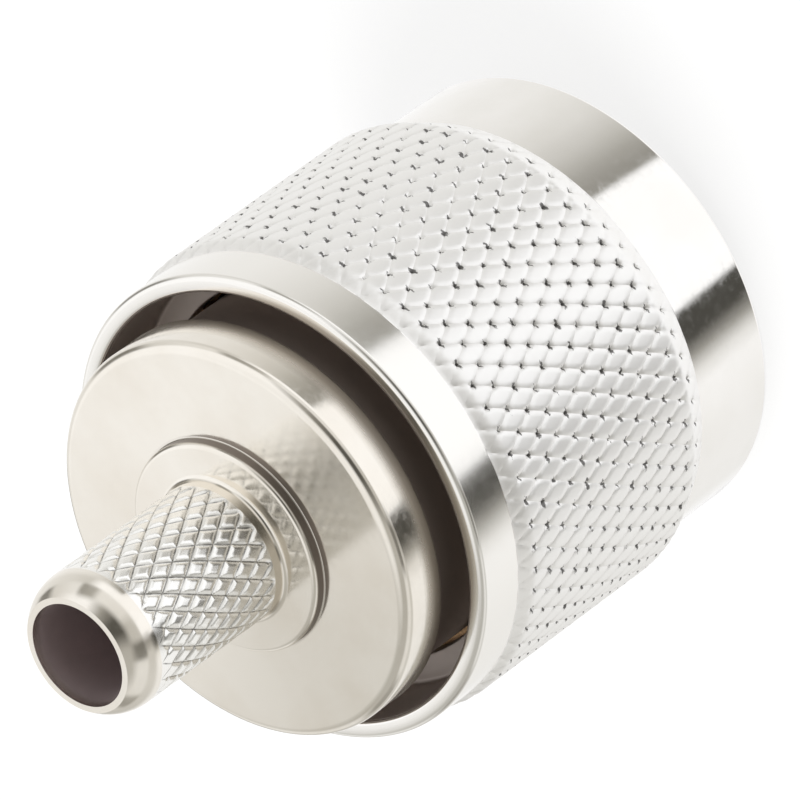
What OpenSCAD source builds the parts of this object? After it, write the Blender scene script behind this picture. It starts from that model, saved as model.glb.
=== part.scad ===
// N type coaxial plug for a crimped cable.
// It stands on the front face of its coupling nut, at z = 0. Its axis is Z, and
// the stem for the cable points up. All sizes are in millimetres.

/* [Mating face] */
// Major diameter of the coupling thread
thread_d = 15.875; // [15.5:0.025:17]
// Height of the thread, from its root to its crest
thread_depth = 0.57; // [0.45:0.01:0.65]
// Length of the threaded stretch
thread_length = 7.4; // [5:0.1:8]
// Outside diameter of the outer contact
contact_od = 8; // [7.8:0.05:8.6]
// Inside diameter of the outer contact
contact_id = 7; // [6.6:0.05:7.2]
// How far the outer contact stays behind the nut's front face
contact_recess = 1.6; // [0.5:0.1:3]
// How far the outer contact stands out from the gasket
contact_reach = 9.1; // [8.4:0.1:10]
// Number of slots across the outer contact
contact_cuts = 2; // [0:1:3]
// Width of a slot
slot_width = 0.4; // [0.2:0.05:0.8]
// Depth of the slots
slot_depth = 4; // [2:0.1:6]

/* [Centre pin] */
// Diameter of the pin's tip, which enters the socket
pin_d = 1.65; // [1.5:0.01:1.9]
// Diameter of the pin behind its shoulder
pin_body_d = 3.04; // [2.7:0.02:3.3]
// How far the pin's tip stays behind the outer contact's front
pin_recess = 0.5; // [0.1:0.1:1.5]
// Distance from the outer contact's front to the pin's shoulder
pin_shoulder_depth = 5.5; // [4.5:0.1:6.5]
// Diameter of the collar that keeps the pin in place
pin_collar_d = 4.4; // [3.8:0.1:5.4]
// Diameter of the hole for the cable's conductor
pin_cup_d = 1.5; // [1:0.05:2]
// Depth of the hole for the cable's conductor
pin_cup_depth = 4; // [2:0.1:5]

/* [Coupling nut] */
// Length of the nut
nut_length = 18.2; // [17:0.1:22]
// Thickness of the nut outside the thread's root
front_wall = 1.66; // [1.2:0.02:2.4]
// Height of the smooth ring at the front
front_ring_h = 4.1; // [3:0.1:6]
// Height of the sloping shoulder between the smooth ring and the knurl's full size
shoulder_h = 1.3; // [0.6:0.1:2]
// How far the knurl stands out from the smooth ring
knurl_step = 0.65; // [0.5:0.01:0.9]
// Depth of the knurl
knurl_depth = 0.3; // [0.15:0.01:0.4]
// Number of grooves that the knurl has each way round
knurl_starts = 64; // [48:1:80]
// Angle between the knurl's grooves and the axis
knurl_angle = 31; // [25:1:40]
// Height of the smooth band at the rear
rear_band_h = 2.1; // [1.2:0.1:3]
// Drop from the knurl's crests to the rear band
rear_step = 0.25; // [0.1:0.01:0.4]
// Thickness of the wall round the rear opening
rear_wall = 0.75; // [0.5:0.05:0.85]
// Rounding of the nut's rear edge
rear_round = 0.25; // [0.1:0.05:0.35]

/* [Retaining ring] */
// Thickness of the ring
ring_thickness = 0.9; // [0.6:0.05:1.2]
// How far the ring reaches into the nut, and into the body
ring_hold = 0.4; // [0.25:0.05:0.5]
// Width of the ring's slit
ring_slit = 2.8; // [1.5:0.1:4]
// Distance from the body's front face to the ring's groove
ring_setback = 1.2; // [0.8:0.1:1.8]
// Play of the ring along the axis, each way
ring_play = 0.1; // [0.05:0.01:0.2]

/* [Body] */
// Gap between the flange and the nut's rear opening
flange_gap = 0.75; // [0.4:0.05:1.1]
// Thickness of the flange
flange_h = 2.2; // [1.6:0.1:3]
// Gap between the nut's rear face and the flange
flange_standoff = 0.6; // [0.3:0.1:1.2]
// Rounding of the flange's rear edge
flange_round = 0.45; // [0.2:0.05:0.8]
// Diameter of the low boss round the stem
boss_d = 9.1; // [8:0.1:11]
// Height of the boss
boss_h = 0.55; // [0.3:0.05:1]
// Thickness of the wall behind the rear insulator
rear_web = 1.2; // [0.8:0.1:1.8]
// Diameter of the seat that holds the outer contact
seat_d = 10.4; // [9.8:0.1:11.4]
// Depth of that seat
seat_depth = 2.6; // [2:0.1:3.4]

/* [Cable stem] */
// Outside diameter of the stem
stem_d = 6; // [5.4:0.1:7]
// Bore of the stem, which takes the cable's core
stem_bore_d = 4.1; // [3.4:0.1:4.6]
// Length of the stem
stem_length = 8.75; // [7:0.05:12]
// Length of the stem's smooth nose
nose_h = 1.4; // [1:0.1:2.5]
// Rounding of the nose
nose_round = 0.5; // [0.2:0.05:0.6]
// Number of grooves that the stem's knurl has each way round
stem_starts = 24; // [16:1:32]
// Depth of the stem's knurl
stem_knurl_depth = 0.22; // [0.1:0.01:0.3]
// Angle between the stem's grooves and the axis
stem_knurl_angle = 30; // [25:1:40]

/* [Insulators and gasket] */
// Length of the front insulator
front_insulator_h = 3.6; // [2.4:0.1:4.2]
// Step that stops the front insulator inside the outer contact
insulator_step = 0.25; // [0.15:0.05:0.3]
// Diameter of the rear insulator
rear_insulator_d = 8; // [7:0.1:9]
// Outside diameter of the gasket
gasket_d = 12.6; // [11:0.1:13.6]
// Thickness of the gasket
gasket_h = 1.5; // [1:0.1:2.2]

/* [Hidden] */
$fn = 96;

nickel = [0.80, 0.78, 0.74];
spring_bronze = [0.68, 0.50, 0.30];
gold = [0.86, 0.69, 0.33];
ptfe = [0.95, 0.95, 0.93];
silicone = [0.62, 0.20, 0.13];

// Radial gap at each fixed fit
fit_gap = 0.02;
// Gap round the jack's barrel, past the thread
jack_gap = 0.16;
// Gap between the nut and the body inside it
barrel_gap = 0.2;
// Gap left under the retaining ring when it is squeezed into the body
squeeze_gap = 0.05;
// Chamfer that breaks a small edge
edge = 0.15;
// How far a cutter runs past the face it opens
past = 1;

// The nut's radii, from the thread outwards
thread_r = thread_d / 2;
crest_r = thread_r - thread_depth;
mouth_clearance = 0.25;
mouth_r = thread_r + mouth_clearance;
mouth_h = 0.8;
relief_r = thread_r + jack_gap;
front_ring_r = thread_r + front_wall;
knurl_r = front_ring_r + knurl_step;
rear_band_r = knurl_r - rear_step;
rear_bore_r = rear_band_r - rear_wall;

// A knurl's two ends sink this far into the smooth metal beyond them
sink = 0.2;
// They end this far below its surface
bite = 0.3;
// The ledge that is left where a knurl meets smooth metal
ledge = 0.06;

// The body's radii, from the nut's rear opening inwards
flange_r = rear_bore_r - flange_gap;
barrel_r = relief_r - barrel_gap;
boss_r = boss_d / 2;
stem_r = stem_d / 2;
stem_bore_r = stem_bore_d / 2;
seat_r = seat_d / 2;
cavity_r = rear_insulator_d / 2;
// The contact is thicker where the gasket grips it
contact_r = contact_od / 2;
contact_root_step = 0.3;
contact_root_r = contact_r + contact_root_step;
contact_bore_r = contact_id / 2;
insulator_bore_r = contact_bore_r + insulator_step;
pin_r = pin_d / 2;
pin_body_r = pin_body_d / 2;

// Places along the axis, from the mating face up
thread_top = mouth_h + thread_length;
gasket_z = contact_recess + contact_reach;
body_z = gasket_z + gasket_h;
seat_z = body_z + seat_depth;
groove_z = body_z + ring_setback;
groove_top = groove_z + ring_thickness;
// Metal between the ring's groove and the nut's rear opening
groove_wall = 0.7;
rear_bore_z = groove_top + groove_wall;
flange_z = nut_length + flange_standoff;
flange_top = flange_z + flange_h;
boss_top = flange_top + boss_h;
stem_top = boss_top + stem_length;
cavity_top = flange_top - rear_web;
shoulder_z = contact_recess + pin_shoulder_depth;
// The collar sits between the two insulators
collar_h = 1.6;
collar_z = seat_z - collar_h;
front_insulator_z = collar_z - front_insulator_h;
// The pin's rear end stays inside the rear insulator
pin_setback = 1;
pin_top = cavity_top - pin_setback;

// The ring, squeezed flush with the nut's bore, has to fit in the body's groove
ring_r_in = barrel_r - ring_hold;
ring_r_out = relief_r + ring_hold;
ring_groove_r = relief_r - (ring_r_out - ring_r_in) - squeeze_gap;

// A rounded corner about a centre at radius r and height z
corner_steps = 6;
function corner(r, z, radius, from, to) =
    [for (i = [0:corner_steps]) let (a = from + (to - from) * i / corner_steps)
        [r + radius * cos(a), z + radius * sin(a)]];

module turned(outline) {
    rotate_extrude() polygon(outline);
}

// A cross-knurled slug. Each row is [height, groove radius, crest radius]. The
// crests and the groove crossings take turns round a row, and swap from row to row.
module knurled(starts, rows) {
    corners = 2 * starts;
    last = len(rows) - 1;
    points = [for (j = [0:last], i = [0:corners - 1])
        let (r = (i + j) % 2 == 0 ? rows[j][1] : rows[j][2], a = 360 * i / corners)
        [r * cos(a), r * sin(a), rows[j][0]]];
    sides = [for (j = [0:last - 1], i = [0:corners - 1])
        let (a = j * corners + i, b = j * corners + (i + 1) % corners,
             c = b + corners, d = a + corners)
        each (i + j) % 2 == 0 ? [[a, d, c], [a, c, b]] : [[a, d, b], [b, d, c]]];
    foot = [for (i = [0:corners - 1]) i];
    head = [for (i = [0:corners - 1]) len(points) - 1 - i];
    polyhedron(points, concat([foot], sides, [head]));
}

// Height between two rows of a knurl of radius r
function row_height(r, starts, angle) = PI * r / starts / tan(angle);

// The sloping shoulder at the front and a short one at the rear limit the crests.
// They start a little inside the smooth metal at either end of the knurl.
function nut_crest(z) = min(knurl_r,
    front_ring_r - ledge + (z - front_ring_h) * knurl_step / shoulder_h,
    rear_band_r - ledge + (nut_length - rear_band_h - z));

module nut_knurl() {
    low = front_ring_h;
    high = nut_length - rear_band_h;
    row = row_height(knurl_r, knurl_starts, knurl_angle);
    count = floor((high - low) / row);
    first = low + (high - low - count * row) / 2;
    shallow = knurl_depth / 3;
    knurled(knurl_starts, concat(
        [[low - sink, front_ring_r - bite, front_ring_r - bite]],
        [for (j = [0:count]) let (z = first + j * row, crest = nut_crest(z))
            [z, min(knurl_r - knurl_depth, crest - shallow), crest]],
        [[high + sink, rear_band_r - bite, rear_band_r - bite]]));
}

// The smooth ring and band, and a core that joins them inside the knurl
module nut_blank() {
    core_r = front_ring_r - 2 * bite;
    high = nut_length - rear_band_h;
    turned(concat(
        [[0, 0], [front_ring_r - edge, 0], [front_ring_r, edge],
         [front_ring_r, front_ring_h], [core_r, front_ring_h],
         [core_r, high], [rear_band_r, high]],
        corner(rear_band_r - rear_round, nut_length - rear_round, rear_round, 0, 90),
        [[0, nut_length]]));
}

// Everything inside the nut: mouth, thread, ring groove and rear opening
module nut_bore() {
    turned([[0, -past], [mouth_r, -past], [mouth_r, 0], [crest_r, mouth_h],
        [crest_r, thread_top], [relief_r, thread_top + relief_r - crest_r],
        [relief_r, groove_z], [ring_r_out, groove_z], [ring_r_out, groove_top],
        [relief_r, groove_top], [relief_r, rear_bore_z], [rear_bore_r, rear_bore_z],
        [rear_bore_r, nut_length - edge], [rear_bore_r + edge, nut_length],
        [rear_bore_r + edge, nut_length + past], [0, nut_length + past]]);
}

module coupling_nut() {
    color(nickel) difference() {
        union() {
            nut_blank();
            nut_knurl();
        }
        nut_bore();
    }
}

// The ring springs outwards into the nut, and turns with it
module retaining_ring() {
    color(spring_bronze) difference() {
        translate([0, 0, groove_z]) cylinder(h = ring_thickness, r = ring_r_out);
        translate([0, 0, groove_z - past]) cylinder(h = ring_thickness + 2 * past, r = ring_r_in);
        translate([0, -ring_slit / 2, groove_z - past])
            cube([ring_r_out + past, ring_slit, ring_thickness + 2 * past]);
    }
}

module stem_knurl() {
    knurl_setback = 0.35;
    low = boss_top + knurl_setback;
    high = stem_top - nose_h;
    row = row_height(stem_r, stem_starts, stem_knurl_angle);
    count = floor((high - low) / row);
    first = low + (high - low - count * row) / 2;
    root_r = stem_r - stem_knurl_depth;
    end_r = root_r - 2 * ledge;
    knurled(stem_starts, concat(
        [[low - sink, end_r, end_r]],
        [for (j = [0:count]) [first + j * row, root_r, stem_r]],
        [[high + sink, end_r, end_r]]));
}

// Flange, boss and stem are turned in one piece with the barrel inside the nut
module body_blank() {
    stem_blank_r = stem_r - stem_knurl_depth - ledge;
    boss_round = 0.3;
    root_fillet = 0.3;
    turned(concat(
        [[0, body_z], [barrel_r - edge, body_z], [barrel_r, body_z + edge],
         [barrel_r, groove_z - ring_play], [ring_groove_r, groove_z - ring_play],
         [ring_groove_r, groove_top + ring_play], [barrel_r, groove_top + ring_play],
         [barrel_r, flange_z], [flange_r - edge, flange_z], [flange_r, flange_z + edge]],
        corner(flange_r - flange_round, flange_top - flange_round, flange_round, 0, 90),
        [[boss_r, flange_top]],
        corner(boss_r - boss_round, boss_top - boss_round, boss_round, 0, 90),
        corner(stem_blank_r + root_fillet, boss_top + root_fillet, root_fillet, 270, 180),
        [[stem_blank_r, stem_top - nose_h], [stem_r, stem_top - nose_h]],
        corner(stem_r - nose_round, stem_top - nose_round, nose_round, 0, 90),
        [[0, stem_top]]));
}

// Seat of the outer contact, room for the rear insulator, and the cable's way in
module body_bore() {
    turned([[0, body_z - past], [seat_r, body_z - past], [seat_r, seat_z],
        [cavity_r, seat_z], [cavity_r, cavity_top], [stem_bore_r, cavity_top],
        [stem_bore_r, stem_top - edge], [stem_bore_r + edge, stem_top],
        [stem_bore_r + edge, stem_top + past], [0, stem_top + past]]);
}

module plug_body() {
    color(nickel) difference() {
        union() {
            body_blank();
            stem_knurl();
        }
        body_bore();
    }
}

// The sleeve is pressed into the body, and its slots give it a light grip
module outer_contact() {
    root_reach = 0.2;
    root_z = gasket_z - root_reach;
    first_cut = 45;
    base_r = seat_r - fit_gap;
    color(nickel) difference() {
        turned([[contact_bore_r, contact_recess], [contact_r - edge, contact_recess],
            [contact_r, contact_recess + edge], [contact_r, root_z],
            [contact_root_r, root_z], [contact_root_r, body_z], [base_r, body_z],
            [base_r, seat_z], [insulator_bore_r, seat_z],
            [insulator_bore_r, front_insulator_z], [contact_bore_r, front_insulator_z]]);
        if (contact_cuts > 0)
            for (i = [0:contact_cuts - 1])
                rotate([0, 0, i * 180 / contact_cuts + first_cut])
                    translate([-contact_r - past, -slot_width / 2, contact_recess - past])
                        cube([2 * (contact_r + past), slot_width, slot_depth + past]);
    }
}

module front_insulator() {
    color(ptfe) turned([[pin_body_r + fit_gap, front_insulator_z],
        [insulator_bore_r - fit_gap, front_insulator_z],
        [insulator_bore_r - fit_gap, collar_z], [pin_body_r + fit_gap, collar_z]]);
}

module rear_insulator() {
    color(ptfe) turned([[pin_body_r + fit_gap, seat_z], [cavity_r - fit_gap, seat_z],
        [cavity_r - fit_gap, cavity_top], [pin_body_r + fit_gap, cavity_top]]);
}

// Tip, shoulder, collar and the hollow rear end for the cable's conductor
module centre_pin() {
    tip_z = contact_recess + pin_recess;
    tip_taper = 0.9;
    tip_r = pin_r * 0.45;
    taper_r = pin_r * 0.8;
    shoulder = 0.3;
    collar_r = pin_collar_d / 2;
    cup_r = pin_cup_d / 2;
    color(gold) turned([[0, tip_z], [tip_r, tip_z], [taper_r, tip_z + tip_taper / 3],
        [pin_r, tip_z + tip_taper], [pin_r, shoulder_z], [pin_body_r - shoulder, shoulder_z],
        [pin_body_r, shoulder_z + shoulder], [pin_body_r, collar_z], [collar_r, collar_z],
        [collar_r, seat_z], [pin_body_r, seat_z], [pin_body_r, pin_top], [cup_r, pin_top],
        [cup_r, pin_top - pin_cup_depth], [0, pin_top - pin_cup_depth]]);
}

module gasket() {
    gasket_r = gasket_d / 2;
    color(silicone) turned([[contact_root_r + fit_gap, gasket_z], [gasket_r - edge, gasket_z],
        [gasket_r, gasket_z + edge], [gasket_r, body_z], [contact_root_r + fit_gap, body_z]]);
}

coupling_nut();
retaining_ring();
plug_body();
outer_contact();
front_insulator();
rear_insulator();
centre_pin();
gasket();
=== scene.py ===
"""The looks of an N type plug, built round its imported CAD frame."""

import math

import bmesh
import bpy
from mathutils import Matrix, Vector


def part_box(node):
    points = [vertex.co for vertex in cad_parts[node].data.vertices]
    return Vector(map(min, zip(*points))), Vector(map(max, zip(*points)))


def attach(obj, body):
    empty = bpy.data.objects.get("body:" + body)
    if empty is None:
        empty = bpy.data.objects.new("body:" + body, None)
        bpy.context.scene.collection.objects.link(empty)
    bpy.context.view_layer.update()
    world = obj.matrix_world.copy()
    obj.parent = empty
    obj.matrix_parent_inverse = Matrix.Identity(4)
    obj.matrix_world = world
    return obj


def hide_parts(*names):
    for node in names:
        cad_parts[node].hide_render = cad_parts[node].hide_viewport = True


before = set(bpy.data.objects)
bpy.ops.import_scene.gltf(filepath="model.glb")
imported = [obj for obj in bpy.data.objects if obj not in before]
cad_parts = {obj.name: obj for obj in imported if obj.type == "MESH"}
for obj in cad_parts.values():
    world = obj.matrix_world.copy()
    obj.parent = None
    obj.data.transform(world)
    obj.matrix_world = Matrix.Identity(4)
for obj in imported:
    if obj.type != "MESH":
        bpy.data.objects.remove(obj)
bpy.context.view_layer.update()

# Sizes are in millimetres, and heights run up from the nut's front face.
MM = 0.001


def box_mm(node):
    """The lowest and highest corner of a CAD node, in millimetres."""
    low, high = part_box(node)
    return low / MM, high / MM


# The camera looks at a point of the axis from above, and is rolled so that the
# stem points to the lower left.
AIM = Vector((0.67, 0, 10.14))
DISTANCE = 533.3
ELEVATION = math.radians(39.6)
ROLL = math.radians(-125.9)
LENS = 620

# The nut, from its thread outwards. The sizes are those of the CAD source.
NUT_TOP = box_mm("coupling_nut")[1].z
KNURL_R = box_mm("coupling_nut")[1].x
RING_LOW, RING_HIGH = box_mm("retaining_ring")
KNURL_STEP = 0.65
REAR_STEP = 0.25
REAR_WALL = 0.75
FRONT_R = KNURL_R - KNURL_STEP
REAR_R = KNURL_R - REAR_STEP
REAR_BORE_R = REAR_R - REAR_WALL
MOUTH_R = 8.1875
MOUTH_H = 0.8
THREAD_ROOT_R = 7.9375
THREAD_CREST_R = 7.3675
THREAD_PITCH = 25.4 / 24
THREAD_TOP = 8.2
THREAD_FLAT = 0.12
THREAD_FLANK = 0.76
THREAD_STEPS = 8
RELIEF_R = 8.0975
GROOVE_R = RING_HIGH.y
KNURL_LOW = 4.1
REAR_BAND_H = 2.1
KNURL_HIGH = NUT_TOP - REAR_BAND_H
SHOULDER_H = 1.3
REAR_SLOPE = 0.4
RING_COVER = 0.7
REAR_BORE_Z = RING_HIGH.z + RING_COVER
NUT_EDGE = 0.16
REAR_ROUND = 0.25
BORE_FILLET = 0.2
RELIEF_EDGE = 0.08

# How far the points of both knurls are drawn in towards the grooves, and the
# narrow strip that keeps their shading off the plain bands beside them
CROWDING = 0.4
STRIP = 0.02

# The nut's knurl: its grooves each way round, its points in each, the pits where two
# grooves cross, and the heights over which it rises from the plain bands
NUT_STARTS = 64
NUT_STEPS = 6
NUT_ROWS = 84
NUT_GROOVE = 0.026
NUT_PIT = 0.15
NUT_PIT_WIDTH = 0.16
NUT_CROWN = 0.01
NUT_FADE_LOW = 0.3
NUT_FADE_HIGH = 0.15

# The body, from its front face up
BODY_LOW, BODY_HIGH = box_mm("plug_body")
BODY_Z = BODY_LOW.z
FLANGE_R = BODY_HIGH.x
FLANGE_STANDOFF = 0.6
FLANGE_H = 2.2
FLANGE_Z = NUT_TOP + FLANGE_STANDOFF
FLANGE_TOP = FLANGE_Z + FLANGE_H
FLANGE_ROUND = 0.45
NUT_CLEARANCE = 0.2
BARREL_R = RELIEF_R - NUT_CLEARANCE
BODY_EDGE = 0.15
RING_PLAY = 0.1
RING_GROOVE_R = RELIEF_R - 1.05
BOSS_R = 4.5
BOSS_H = 0.55
BOSS_TOP = FLANGE_TOP + BOSS_H
BOSS_ROUND = 0.2
BOSS_FILLET = 0.06
STEM_FILLET = 0.2
STEM_R = 3
STEM_BORE_R = 2.05
STEM_MOUTH_R = 2.2
MOUTH_TAPER = 0.9
STEM_TOP = BODY_HIGH.z
NOSE_H = 1.4
NOSE_ROUND = 2.1
SEAT_R = 5.2
SEAT_DEPTH = 2.6
SEAT_Z = BODY_Z + SEAT_DEPTH
CAVITY_R = 4
REAR_WEB = 1.2
CAVITY_TOP = FLANGE_TOP - REAR_WEB

# The stem's knurl. Its upper end is ragged, as two waves round the stem make it.
STEM_STARTS = 24
STEM_STEPS = 10
STEM_ROWS = 100
STEM_GROOVE = 0.1
STEM_GROOVE_WIDTH = 0.2
STEM_FOOT = 0.55
STEM_KNURL_LOW = BOSS_TOP + STEM_FOOT
STEM_KNURL_HIGH = STEM_TOP - NOSE_H
STEM_FADE = 0.2
STEM_RAGGED = 0.3
STEM_WAVES = (5, 7)

# Points closer than this are one, in metres, and edges sharper than this stay sharp
WELD = 1e-7
SHARP_ANGLE = math.radians(30)

# Colours of the plating where the tool or dirt leaves it different, and painted shade where the
# plug's bores, gaps and grooves lie dark
KNURL_WHITE = (0.95, 0.94, 0.92)
REAR_BAND_GREY = (0.90, 0.88, 0.84)
# Painted shade on the wall of the nut's rear bore, which lies dark inside the nut
NUT_BORE_SHADE = (0.62, 0.56, 0.52)
STEM_WHITE = (0.97, 0.96, 0.93)
# Painted shade at the foot of the flange's side and on the barrel beside it, fading out upwards
FLANGE_GAP_SHADE = (0.42, 0.37, 0.31)
# Painted shade on the barrel inside the nut
BARREL_SHADE = (0.50, 0.44, 0.40)
BOSS_SHADE = (0.24, 0.21, 0.19)
# Painted shade in the stem's bore
STEM_BORE_SHADE = (0.62, 0.54, 0.54)
# Dirt and painted shade in the knurls' pits and grooves
GROOVE_DIRT_AND_SHADE = (0.10, 0.095, 0.09)

# A radius beyond the whole plug, and one between the flange's gap and the thread
OUTSIDE = 20
GAP_R = 7


# ---- Meshes ----

def rounded(corners, steps=6):
    """The outline through its corners. A corner is (r, z), or (r, z, fillet radius)."""
    points = []
    for k, corner in enumerate(corners):
        here = Vector(corner[:2])
        if len(corner) == 2:
            points.append(here)
            continue
        back = (Vector(corners[k - 1][:2]) - here).normalized()
        ahead = (Vector(corners[k + 1][:2]) - here).normalized()
        half = back.angle(ahead) / 2
        centre = here + (back + ahead).normalized() * corner[2] / math.sin(half)
        start = here + back * corner[2] / math.tan(half) - centre
        end = here + ahead * corner[2] / math.tan(half) - centre
        sweep = math.pi - 2 * half
        for i in range(steps + 1):
            t = i / steps
            spoke = start * math.sin((1 - t) * sweep) + end * math.sin(t * sweep)
            points.append(centre + spoke / math.sin(sweep))
    return points


def arc(centre, radius, last, steps=8):
    """Points on an outline's arc, from straight out up to the last angle."""
    angles = [last * i / steps for i in range(steps + 1)]
    return [Vector(centre) + radius * Vector((math.cos(a), math.sin(a))) for a in angles]


def crowded(place):
    """A place in groove pitches, drawn in towards the nearest groove."""
    return place - CROWDING * math.sin(2 * math.pi * place) / (2 * math.pi)


def shares(starts, steps):
    """Shares of a turn at which the knurl and all that meets it have their points."""
    return [crowded(i / steps) / starts for i in range(starts * steps)]


def turned(outline, around):
    """An outline of (r, z) points, set round the Z axis at shares of a turn."""
    points = []
    segments = len(around)
    for r, z in outline:
        for share in around:
            a = 2 * math.pi * share
            points.append((r * math.cos(a), r * math.sin(a), z))
    faces = []
    for j in range(len(outline) - 1):
        for i in range(segments):
            a, b = j * segments + i, j * segments + (i + 1) % segments
            faces.append((a, b, b + segments, a + segments))
    return points, faces


def knurled(starts, steps, rows, low, high, radius):
    """A tube of small diamonds whose edges follow both sets of grooves.

    radius(u, v, z) takes each point's place across the two sets, in grooves.
    """
    count = starts * steps
    points = []
    for d in range(rows + 1):
        for i in range(count):
            u, v = crowded(i / steps), crowded((i - d) / steps)
            a = math.pi * (u + v) / starts
            z = low + (high - low) * (u - v) * steps / rows
            r = radius(u, v, z)
            points.append((r * math.cos(a), r * math.sin(a), z))
    faces = []
    for d in range(rows + 1):
        for i in range(count):
            n = (i + 1) % count
            diamond = [d * count + i, (d - 1) * count + i, d * count + n, (d + 1) * count + n]
            faces.append([p for p in diamond if 0 <= p < len(points)])
    return points, faces


def threaded(low, high, around, steps, radius):
    """A threaded tube. radius(turn, z) takes the place across the thread, in turns."""
    segments = len(around)
    rows = int((high - low) / THREAD_PITCH + 2) * steps
    points = []
    for j in range(rows + 1):
        for share in around:
            a = 2 * math.pi * share
            turn = j / steps + share - 1
            z = min(max(low + turn * THREAD_PITCH, low), high)
            r = radius(j / steps % 1, z)
            points.append((r * math.cos(a), r * math.sin(a), z))
    faces = []
    for j in range(rows):
        for i in range(segments):
            a, b = j * segments + i, j * segments + i + 1
            if i == segments - 1:
                b = (j + steps) * segments
            face = (a, a + segments, b + segments, b)
            if max(face) < len(points):
                heights = [points[p][2] for p in face]
                if min(heights) < high and max(heights) > low:
                    faces.append(face)
    return points, faces


def piece(name, parts, body, finish):
    """One mesh object made of several parts that meet edge to edge, riding on a body."""
    points, faces = [], []
    for part_points, part_faces in parts:
        faces += [[p + len(points) for p in face] for face in part_faces]
        points += part_points
    mesh = bpy.data.meshes.new(name)
    mesh.from_pydata([Vector(p) * MM for p in points], [], faces)
    work = bmesh.new()
    work.from_mesh(mesh)
    bmesh.ops.remove_doubles(work, verts=work.verts, dist=WELD)
    bmesh.ops.recalc_face_normals(work, faces=work.faces)
    work.to_mesh(mesh)
    work.free()
    mesh.shade_smooth()
    mesh.set_sharp_from_angle(angle=SHARP_ANGLE)
    mesh.materials.append(finish)
    made = bpy.data.objects.new(name, mesh)
    bpy.context.scene.collection.objects.link(made)
    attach(made, body)
    return made


# ---- Materials ----

class Nodes:
    """A short way to add and link the nodes of one tree."""

    def __init__(self, tree):
        self.tree = tree

    def add(self, kind, *inputs, **settings):
        node = self.tree.nodes.new(kind)
        for key, value in settings.items():
            setattr(node, key, value)
        for i, value in enumerate(inputs):
            self.put(node.inputs[i], value)
        return node

    def put(self, socket, value):
        if hasattr(value, "outputs"):
            value = value.outputs[0]
        if isinstance(value, bpy.types.NodeSocket):
            self.tree.links.new(value, socket)
        else:
            socket.default_value = value

    def math(self, operation, *values):
        return self.add("ShaderNodeMath", *values, operation=operation)

    def range(self, value, low, high, to_low, to_high):
        node = self.add("ShaderNodeMapRange", clamp=True)
        for name, v in zip(("Value", "From Min", "From Max", "To Min", "To Max"),
                           (value, low, high, to_low, to_high)):
            self.put(node.inputs[name], v)
        return node

    def ramp(self, value, stops):
        node = self.add("ShaderNodeValToRGB", value)
        marks = node.color_ramp.elements
        while len(marks) < len(stops):
            marks.new(0.5)
        for mark, (place, colour) in zip(marks, stops):
            mark.position = place
            mark.color = colour
        return node

    def noise(self, vector, scale, detail=3, roughness=0.5, dimensions="3D"):
        node = self.add("ShaderNodeTexNoise", noise_dimensions=dimensions)
        self.put(node.inputs["W" if dimensions == "1D" else "Vector"], vector)
        self.put(node.inputs["Scale"], scale)
        self.put(node.inputs["Detail"], detail)
        self.put(node.inputs["Roughness"], roughness)
        return node

    def mix(self, share, a, b):
        node = self.add("ShaderNodeMix", data_type="RGBA")
        self.put(node.inputs["Factor"], share)
        self.put(node.inputs[6], a)
        self.put(node.inputs[7], b)
        return node.outputs[2]


def start_material(name, roughness, metallic=0.0):
    """A new material: its nodes, its main shader and its points in millimetres."""
    made = bpy.data.materials.new(name)
    made.use_nodes = True
    n = Nodes(made.node_tree)
    shader = made.node_tree.nodes["Principled BSDF"]
    shader.inputs["Roughness"].default_value = roughness
    shader.inputs["Metallic"].default_value = metallic
    place = n.add("ShaderNodeTexCoord").outputs["Object"]
    points = n.add("ShaderNodeVectorMath", place, operation="SCALE")
    points.inputs["Scale"].default_value = 1 / MM
    return made, n, shader, points.outputs[0]


def radius_and_height(n, points):
    """Distance from the axis, and height, of each point."""
    axes = n.add("ShaderNodeSeparateXYZ", points)
    flat = n.add("ShaderNodeCombineXYZ", axes.outputs[0], axes.outputs[1])
    across = n.add("ShaderNodeVectorMath", flat, operation="LENGTH")
    return across.outputs["Value"], axes.outputs[2]


def band(n, value, low, high, soft=0.04):
    """1 where a value lies between two levels, and 0 elsewhere, with soft ends."""
    rise = n.range(value, low - soft, low + soft, 0, 1)
    fall = n.range(value, high - soft, high + soft, 1, 0)
    return n.math("MULTIPLY", rise, fall)


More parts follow.
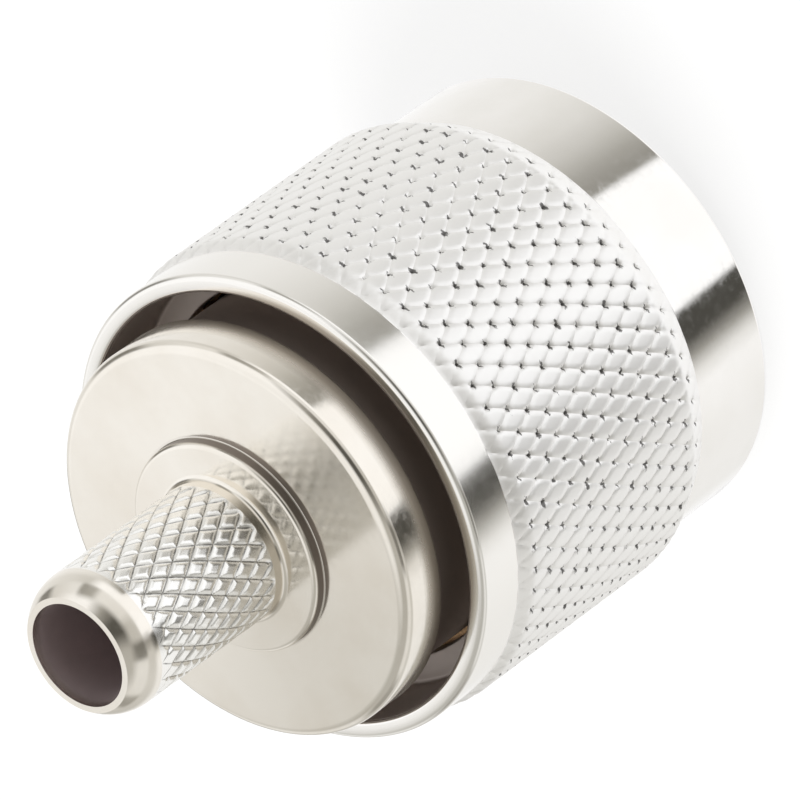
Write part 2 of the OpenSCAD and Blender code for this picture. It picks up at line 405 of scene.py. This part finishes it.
def plated(name, bright, dull, gloss, zones=(), marks=None):
    """Nickel plating over turned metal, with fine tool lines, smears and dull spots.

    A zone is a span of radius, a span of height, a colour and a roughness. A span is
    its low and high end, and may add how soft its ends are.
    """
    made, n, shader, points = start_material(name, gloss, 1.0)
    across, height = radius_and_height(n, points)
    along = n.math("ADD", across, height)
    smear = n.noise(points, 0.35, 4)
    speck = n.noise(points, 3.0, 5, 0.6)
    lines = n.noise(along, 14.0, 4, 0.7, "1D")
    colour = n.mix(n.range(smear, 0.35, 0.7, 0, 1), (*bright, 1), (*dull, 1))
    worn = n.math("MULTIPLY_ADD", n.range(speck, 0.45, 0.75, 0, 1), 0.1, gloss)
    worn = n.math("MULTIPLY_ADD", n.range(lines, 0.4, 0.7, 0, 1), 0.04, worn)
    for radii, heights, tint, shine in zones:
        mask = n.math("MULTIPLY", band(n, across, *radii), band(n, height, *heights))
        colour = n.mix(mask, colour, (*tint, 1))
        worn = n.range(mask, 0, 1, worn, n.math("MULTIPLY_ADD", speck, 0.1, shine))
    # The marks darken the plating towards the colour of dirt and painted shade in the knurls.
    if marks:
        colour = n.mix(marks(n, points, height), colour, (*GROOVE_DIRT_AND_SHADE, 1))
    n.put(shader.inputs["Base Color"], colour)
    n.put(shader.inputs["Roughness"], worn)
    relief = n.math("MULTIPLY_ADD", lines, 0.6, n.math("MULTIPLY", speck, 0.4))
    bump = n.add("ShaderNodeBump")
    bump.inputs["Strength"].default_value = 0.25
    bump.inputs["Distance"].default_value = 0.004 * MM
    n.put(bump.inputs["Height"], relief)
    n.put(shader.inputs["Normal"], bump)
    return made


def knurl_places(n, points, starts, steps, rows, low, high):
    """Each point's place round and up a knurl, in groove pitches."""
    axes = n.add("ShaderNodeSeparateXYZ", points)
    turn = n.math("ARCTAN2", axes.outputs[1], axes.outputs[0])
    around = n.math("MULTIPLY", turn, starts / (2 * math.pi))
    climb = rows / (2 * steps) / (high - low)
    up = n.math("MULTIPLY", n.math("SUBTRACT", axes.outputs[2], low), climb)
    return around, up


def nut_pit_dirt_and_shade(n, points, height):
    """Dirt and painted shade where the nut's grooves cross: short ragged flecks, some of them
    missing.
    """
    around, up = knurl_places(n, points, NUT_STARTS, NUT_STEPS, NUT_ROWS, KNURL_LOW, KNURL_HIGH)
    jitter = n.add("ShaderNodeSeparateColor", n.noise(points, 4.5, 4, 0.65).outputs["Color"])
    around = n.math("MULTIPLY_ADD", jitter.outputs[0], 0.5, n.math("SUBTRACT", around, 0.25))
    up = n.math("MULTIPLY_ADD", jitter.outputs[1], 0.24, n.math("SUBTRACT", up, 0.12))
    far = []
    for shift in (0, 0.5):
        sides = []
        for value, reach in ((around, 0.27), (up, 0.055)):
            gap = n.math("PINGPONG", n.math("ADD", value, shift), 0.5)
            sides.append(n.math("DIVIDE", gap, reach))
        flat = n.add("ShaderNodeCombineXYZ", *sides)
        far.append(n.add("ShaderNodeVectorMath", flat, operation="LENGTH").outputs["Value"])
    nearest = n.math("MINIMUM", *far)
    size = n.range(n.noise(points, 0.9, 2), 0.3, 0.7, 0.4, 1.2)
    fleck = n.range(n.math("DIVIDE", nearest, size), 0.6, 1.0, 1, 0)
    zone = band(n, height, KNURL_LOW + 0.2, KNURL_HIGH - 0.4, 0.2)
    outside = n.range(radius_and_height(n, points)[0], FRONT_R - 0.1, FRONT_R, 0, 0.9)
    return n.math("MULTIPLY", n.math("MULTIPLY", fleck, zone), outside)


def stem_groove_shade(n, points, height):
    """Painted shade: thin dark lines along the floors of the stem's grooves, fainter in places.
    """
    around, up = knurl_places(n, points, STEM_STARTS, STEM_STEPS, STEM_ROWS,
                              STEM_KNURL_LOW, STEM_KNURL_HIGH)
    first = n.math("PINGPONG", n.math("ADD", around, up), 0.5)
    second = n.math("PINGPONG", n.math("SUBTRACT", around, up), 0.5)
    line = n.range(n.math("MINIMUM", first, second), 0.02, 0.06, 1, 0)
    strength = n.range(n.noise(points, 2.5, 3), 0.35, 0.65, 0.25, 0.8)
    zone = band(n, height, STEM_KNURL_LOW + 0.1, STEM_KNURL_HIGH - 0.1, 0.1)
    outside = n.range(radius_and_height(n, points)[0], STEM_MOUTH_R, STEM_MOUTH_R + 0.1, 0, 1)
    return n.math("MULTIPLY", n.math("MULTIPLY", line, strength),
                  n.math("MULTIPLY", zone, outside))


def spring_metal():
    """Bare phosphor bronze, drawn and rolled into a ring."""
    made, n, shader, points = start_material("spring_bronze", 0.32, 1.0)
    stain = n.noise(points, 0.8, 4)
    n.put(shader.inputs["Base Color"],
          n.mix(n.range(stain, 0.3, 0.7, 0, 1), (0.55, 0.36, 0.20, 1), (0.40, 0.24, 0.13, 1)))
    n.put(shader.inputs["Roughness"], n.range(n.noise(points, 6, 3), 0.3, 0.7, 0.24, 0.42))
    return made


def gold_plate():
    """Thin gold over the pin, with faint lines from turning."""
    made, n, shader, points = start_material("gold", 0.2, 1.0)
    across, height = radius_and_height(n, points)
    lines = n.noise(n.math("ADD", across, height), 18, 3, 0.6, "1D")
    shade = n.noise(points, 1.2, 4)
    n.put(shader.inputs["Base Color"],
          n.mix(n.range(shade, 0.3, 0.7, 0, 1), (0.95, 0.70, 0.30, 1), (0.86, 0.59, 0.22, 1)))
    n.put(shader.inputs["Roughness"], n.range(lines, 0.3, 0.7, 0.14, 0.28))
    return made


def fluoropolymer():
    """White PTFE, waxy and slightly mottled."""
    made, n, shader, points = start_material("ptfe", 0.45)
    mottle = n.noise(points, 1.5, 5)
    n.put(shader.inputs["Base Color"],
          n.mix(n.range(mottle, 0.3, 0.7, 0, 1), (0.86, 0.86, 0.84, 1), (0.78, 0.78, 0.76, 1)))
    n.put(shader.inputs["Roughness"], n.range(mottle, 0.3, 0.7, 0.38, 0.52))
    return made


def rubber():
    """Red silicone rubber with a soft sheen and a bloom of dust."""
    made, n, shader, points = start_material("silicone", 0.5)
    dust = n.noise(points, 4, 5, 0.6)
    n.put(shader.inputs["Base Color"],
          n.mix(n.range(dust, 0.4, 0.75, 0, 1), (0.40, 0.06, 0.035, 1), (0.48, 0.13, 0.09, 1)))
    n.put(shader.inputs["Roughness"], n.range(dust, 0.3, 0.7, 0.42, 0.62))
    return made


# ---- The coupling nut ----

def groove(t, width):
    """Depth share of a V groove at a distance of t grooves from its middle."""
    t = abs(t - round(t))
    return max(0.0, 1 - t / width)


def nut_knurl_radius(u, v, z):
    """The nut's radius in its knurl: a sloping shoulder, grooves, pits and low crowns."""
    shoulder = FRONT_R + (z - KNURL_LOW) * (KNURL_R - FRONT_R) / SHOULDER_H
    crest = min(KNURL_R, shoulder, REAR_R + (KNURL_HIGH - z) * REAR_SLOPE)
    width = crowded(1 / NUT_STEPS)
    cut = NUT_GROOVE * max(groove(u, width), groove(v, width))
    cut += NUT_PIT * groove(u, NUT_PIT_WIDTH) * groove(v, NUT_PIT_WIDTH)
    off_centre = max(abs(u % 1 - 0.5), abs(v % 1 - 0.5)) * 2
    cut += NUT_CROWN * off_centre ** 2
    fade = min(1.0, (z - KNURL_LOW) / NUT_FADE_LOW, (KNURL_HIGH - z) / NUT_FADE_HIGH)
    return crest - cut * max(0.0, fade)


def nut_thread_radius(turn, z):
    """Flat crests and roots with 60 degree flanks, opened out at both ends."""
    flank = abs(turn - 0.5) * 2
    share = min(max((flank - THREAD_FLAT) / THREAD_FLANK, 0), 1)
    r = THREAD_CREST_R + (THREAD_ROOT_R - THREAD_CREST_R) * share
    mouth = MOUTH_R - (MOUTH_R - THREAD_CREST_R) * z / MOUTH_H
    return max(r, mouth, THREAD_CREST_R + z - THREAD_TOP)


def coupling_nut(finish):
    """The nut with its thread and its knurl, in place of the CAD nut."""
    around = shares(NUT_STARTS, NUT_STEPS)
    thread_end = THREAD_TOP + RELIEF_R - THREAD_CREST_R
    front = rounded([
        (MOUTH_R, 0), (FRONT_R, 0, NUT_EDGE),
        (FRONT_R, KNURL_LOW - STRIP), (FRONT_R, KNURL_LOW)])
    rear = rounded([
        (REAR_R, KNURL_HIGH), (REAR_R, KNURL_HIGH + STRIP), (REAR_R, NUT_TOP, REAR_ROUND),
        (REAR_BORE_R, NUT_TOP, NUT_EDGE), (REAR_BORE_R, REAR_BORE_Z, BORE_FILLET),
        (RELIEF_R, REAR_BORE_Z, RELIEF_EDGE),
        (RELIEF_R, RING_HIGH.z), (GROOVE_R, RING_HIGH.z), (GROOVE_R, RING_LOW.z),
        (RELIEF_R, RING_LOW.z), (RELIEF_R, thread_end)])
    parts = [
        turned(front, around),
        turned(rear, around),
        knurled(NUT_STARTS, NUT_STEPS, NUT_ROWS, KNURL_LOW, KNURL_HIGH, nut_knurl_radius),
        threaded(0, thread_end, around, THREAD_STEPS, nut_thread_radius)]
    made = piece("coupling_nut_dressed", parts, "nut", finish)
    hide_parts("coupling_nut")


# ---- The body ----

def stem_knurl_radius(u, v, z):
    """The stem's radius in its knurl, whose grooves run out unevenly at the nose."""
    width = STEM_GROOVE_WIDTH
    cut = STEM_GROOVE * max(groove(u, width), groove(v, width))
    turn = math.pi * (u + v) / STEM_STARTS
    slow, fast = STEM_WAVES
    ragged = STEM_RAGGED * (1 + math.sin(slow * turn + 1) * math.sin(fast * turn))
    top = STEM_KNURL_HIGH - ragged
    fade = min(1.0, (z - STEM_KNURL_LOW) / STEM_FADE, (top - z) / STEM_FADE)
    return STEM_R - cut * max(0.0, fade)


def plug_body(finish):
    """The body with its rounded nose and its knurl, in place of the CAD body."""
    nose = arc((STEM_R - NOSE_ROUND, STEM_KNURL_HIGH), NOSE_ROUND, math.asin(NOSE_H / NOSE_ROUND))
    nose.insert(1, Vector((STEM_R, STEM_KNURL_HIGH + STRIP)))
    outline = nose + rounded([
        (STEM_MOUTH_R, STEM_TOP), (STEM_BORE_R, STEM_TOP - MOUTH_TAPER),
        (STEM_BORE_R, CAVITY_TOP), (CAVITY_R, CAVITY_TOP), (CAVITY_R, SEAT_Z),
        (SEAT_R, SEAT_Z), (SEAT_R, BODY_Z), (BARREL_R, BODY_Z, BODY_EDGE),
        (BARREL_R, RING_LOW.z - RING_PLAY), (RING_GROOVE_R, RING_LOW.z - RING_PLAY),
        (RING_GROOVE_R, RING_HIGH.z + RING_PLAY), (BARREL_R, RING_HIGH.z + RING_PLAY),
        (BARREL_R, FLANGE_Z), (FLANGE_R, FLANGE_Z, BODY_EDGE),
        (FLANGE_R, FLANGE_TOP, FLANGE_ROUND), (BOSS_R, FLANGE_TOP, BOSS_FILLET),
        (BOSS_R, BOSS_TOP, BOSS_ROUND), (STEM_R, BOSS_TOP, STEM_FILLET),
        (STEM_R, STEM_KNURL_LOW - STRIP), (STEM_R, STEM_KNURL_LOW)])
    parts = [
        turned(outline, shares(STEM_STARTS, STEM_STEPS)),
        knurled(STEM_STARTS, STEM_STEPS, STEM_ROWS, STEM_KNURL_LOW, STEM_KNURL_HIGH,
                stem_knurl_radius)]
    made = piece("plug_body_dressed", parts, "body", finish)
    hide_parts("plug_body")


def finish_cad_nodes(finishes):
    """Gives the CAD nodes that are shown as they are their materials."""
    for node, finish in finishes.items():
        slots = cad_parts[node].data.materials
        slots.clear()
        slots.append(finish)


# ---- Stage ----

# The studio's brightness by azimuth, in degrees from the camera's side. The first
# ring is what upright walls show the camera, and the others lie one above the other
# from there up.
WALL_RING = [
    (-180, 1.05), (-160, 1.0), (-120, 0.93), (-104, 0.92), (-88, 0.86), (-72, 0.76),
    (-56, 0.58), (-46, 0.42), (-38, 0.33), (-32.5, 0.30), (-30.5, 1.15), (34, 1.15),
    (36.5, 0.07), (50, 0.07), (58, 0.36), (66, 0.85), (74, 1.02), (110, 0.93),
    (150, 0.90), (180, 1.05)]
HORIZON_RING = [
    (-180, 0.25), (-172, 0.30), (-168, 0.95), (-104, 0.78), (-76, 0.68), (-60, 1.15),
    (26, 1.15), (40, 0.30), (56, 0.65), (100, 0.70), (152, 0.60), (166, 0.60), (172, 0.25),
    (180, 0.25)]
EYE_RING = [
    (-180, 0.90), (-150, 0.85), (-144, 0.25), (-128, 0.22), (-118, 0.75), (-84, 0.90),
    (-78, 0.35), (-60, 0.45), (-50, 0.90), (-10, 0.85), (6, 0.60), (30, 0.60), (38, 0.20),
    (56, 0.22), (64, 0.85), (112, 0.80), (120, 0.40), (136, 0.35), (144, 0.85), (180, 0.90)]
UPPER_RING = [
    (-180, 0.95), (-165, 1.10), (-60, 1.10), (-35, 0.35), (-10, 0.10), (12, 0.10), (40, 0.50),
    (120, 0.50), (150, 0.50), (172, 0.68), (180, 0.95)]
NADIR = 1.1
ZENITH = 1.0

# The heights, as the sine of the elevation, over which each ring takes over from what
# lies below it, and the zenith from the last ring
LAYERS = [
    (-0.9, -0.78, WALL_RING), (-0.52, -0.4, HORIZON_RING), (-0.2, -0.12, EYE_RING),
    (0.2, 0.4, UPPER_RING)]
ZENITH_SPAN = (0.75, 0.95)
WARM_RED = 0.04
WARM_BLUE = 0.12

# The floor, which lies just under the plug, and how its white is shared out between
# light that shadows dim and light of its own
FLOOR_SIZE = 4000
FLOOR_Z = -0.01
FLOOR_DIFFUSE = 0.3
FLOOR_GLOW = 0.7


def warm(v):
    """A grey of the studio. The darker it is, the warmer."""
    return v * (1 + WARM_RED * (1 - v)), v, v * (1 - WARM_BLUE * (1 - v)), 1


def studio_world():
    """The studio's rings for all light but the camera's own view, which is white."""
    world = bpy.data.worlds.new("studio")
    bpy.context.scene.world = world
    world.use_nodes = True
    tree = world.node_tree
    tree.nodes.clear()
    n = Nodes(tree)
    axes = n.add("ShaderNodeSeparateXYZ", n.add("ShaderNodeTexCoord").outputs["Generated"])
    x, y, z = axes.outputs
    turn = n.math("ARCTAN2", n.math("MULTIPLY", x, -1.0), n.math("MULTIPLY", y, -1.0))
    share = n.range(turn, -math.pi, math.pi, 0, 1)
    room = warm(NADIR)
    for low, high, ring in LAYERS:
        stops = [((azimuth + 180) / 360, warm(v)) for azimuth, v in ring]
        room = n.mix(n.range(z, low, high, 0, 1), room, n.ramp(share, stops).outputs[0])
    room = n.mix(n.range(z, *ZENITH_SPAN, 0, 1), room, warm(ZENITH))
    seen = n.add("ShaderNodeLightPath").outputs["Is Camera Ray"]
    light = n.add("ShaderNodeBackground", n.mix(seen, room, (1, 1, 1, 1)), 1.0)
    n.add("ShaderNodeOutputWorld", light)


def floor():
    """A white ground that only the camera sees, with the plug's soft shadow on it."""
    mesh = bpy.data.meshes.new("floor")
    corners = [(-1, -1), (1, -1), (1, 1), (-1, 1)]
    points = [(x * FLOOR_SIZE * MM, y * FLOOR_SIZE * MM, FLOOR_Z * MM) for x, y in corners]
    mesh.from_pydata(points, [], [(0, 1, 2, 3)])
    made = bpy.data.objects.new("floor", mesh)
    bpy.context.scene.collection.objects.link(made)
    material = bpy.data.materials.new("floor")
    material.use_nodes = True
    tree = material.node_tree
    tree.nodes.clear()
    n = Nodes(tree)
    lit = n.add("ShaderNodeBsdfDiffuse", (FLOOR_DIFFUSE,) * 3 + (1,))
    white = n.add("ShaderNodeEmission", (1, 1, 1, 1), FLOOR_GLOW)
    both = n.add("ShaderNodeAddShader", lit, white)
    n.add("ShaderNodeOutputMaterial", both)
    mesh.materials.append(material)
    made.visible_glossy = False
    made.visible_diffuse = False
    made.visible_shadow = False


def lamp(name, place, aim, size, watts):
    """A round lamp that lights the plug but is never seen, directly or reflected."""
    light = bpy.data.lights.new(name, "AREA")
    light.energy = watts
    light.shape = "DISK"
    light.size = size * MM
    made = bpy.data.objects.new(name, light)
    made.location = Vector(place) * MM
    made.rotation_euler = (Vector(aim) - Vector(place)).to_track_quat("-Z", "Y").to_euler()
    made.visible_glossy = False
    made.visible_camera = False
    bpy.context.scene.collection.objects.link(made)


def camera():
    """The photo's camera."""
    data = bpy.data.cameras.new("camera")
    data.lens = LENS
    data.clip_start = 0.01
    made = bpy.data.objects.new("camera", data)
    back = Vector((0, -math.cos(ELEVATION), math.sin(ELEVATION)))
    upright = (-back).to_track_quat("-Z", "Y").to_matrix().to_4x4()
    roll = Matrix.Rotation(ROLL, 4, "Z")
    made.matrix_world = Matrix.Translation((AIM + back * DISTANCE) * MM) @ upright @ roll
    bpy.context.scene.collection.objects.link(made)
    bpy.context.scene.camera = made


camera()
studio_world()
floor()
lamp("key", place=(-150, 80, 400), aim=(0, 0, 10), size=250, watts=1.2)

nut_nickel = plated("nickel_nut", (0.92, 0.90, 0.87), (0.88, 0.86, 0.82), 0.06, [
    ((FRONT_R - 0.2, OUTSIDE), (KNURL_LOW, KNURL_HIGH), KNURL_WHITE, 0.40),
    ((FRONT_R - 0.2, OUTSIDE), (KNURL_HIGH, NUT_TOP), REAR_BAND_GREY, 0.12),
    # painted shade on the wall of the nut's rear bore
    ((0, REAR_BORE_R + 0.05), (RING_HIGH.z, NUT_TOP - 0.2), NUT_BORE_SHADE, 0.5)],
    nut_pit_dirt_and_shade)
body_nickel = plated("nickel_body", (0.88, 0.84, 0.77), (0.83, 0.78, 0.70), 0.11, [
    ((STEM_MOUTH_R, STEM_R + 0.1), (STEM_KNURL_LOW, STEM_KNURL_HIGH), STEM_WHITE, 0.22),
    # painted shade at the foot of the flange's side, darker towards the gap
    ((GAP_R, OUTSIDE), (FLANGE_Z - 1, FLANGE_Z + 0.75, 0.35), FLANGE_GAP_SHADE, 0.3),
    # painted shade on the barrel inside the nut
    ((GAP_R, OUTSIDE), (BODY_Z + 1, FLANGE_Z + 0.1), BARREL_SHADE, 0.45),
    ((BOSS_R - 0.08, BOSS_R + 0.1), (FLANGE_TOP + 0.03, BOSS_TOP - 0.15), BOSS_SHADE, 0.3),
    # painted shade in the stem's bore
    ((-1, STEM_MOUTH_R - 0.03), (CAVITY_TOP, STEM_TOP + 1), STEM_BORE_SHADE, 0.5)],
    stem_groove_shade)
coupling_nut(nut_nickel)
plug_body(body_nickel)
finish_cad_nodes({
    "outer_contact": plated("nickel_contact", (0.88, 0.86, 0.80), (0.82, 0.79, 0.73), 0.12),
    "retaining_ring": spring_metal(), "front_insulator": fluoropolymer(),
    "rear_insulator": fluoropolymer(), "centre_pin": gold_plate(), "gasket": rubber()})

bpy.context.scene.view_settings.view_transform = "Standard"
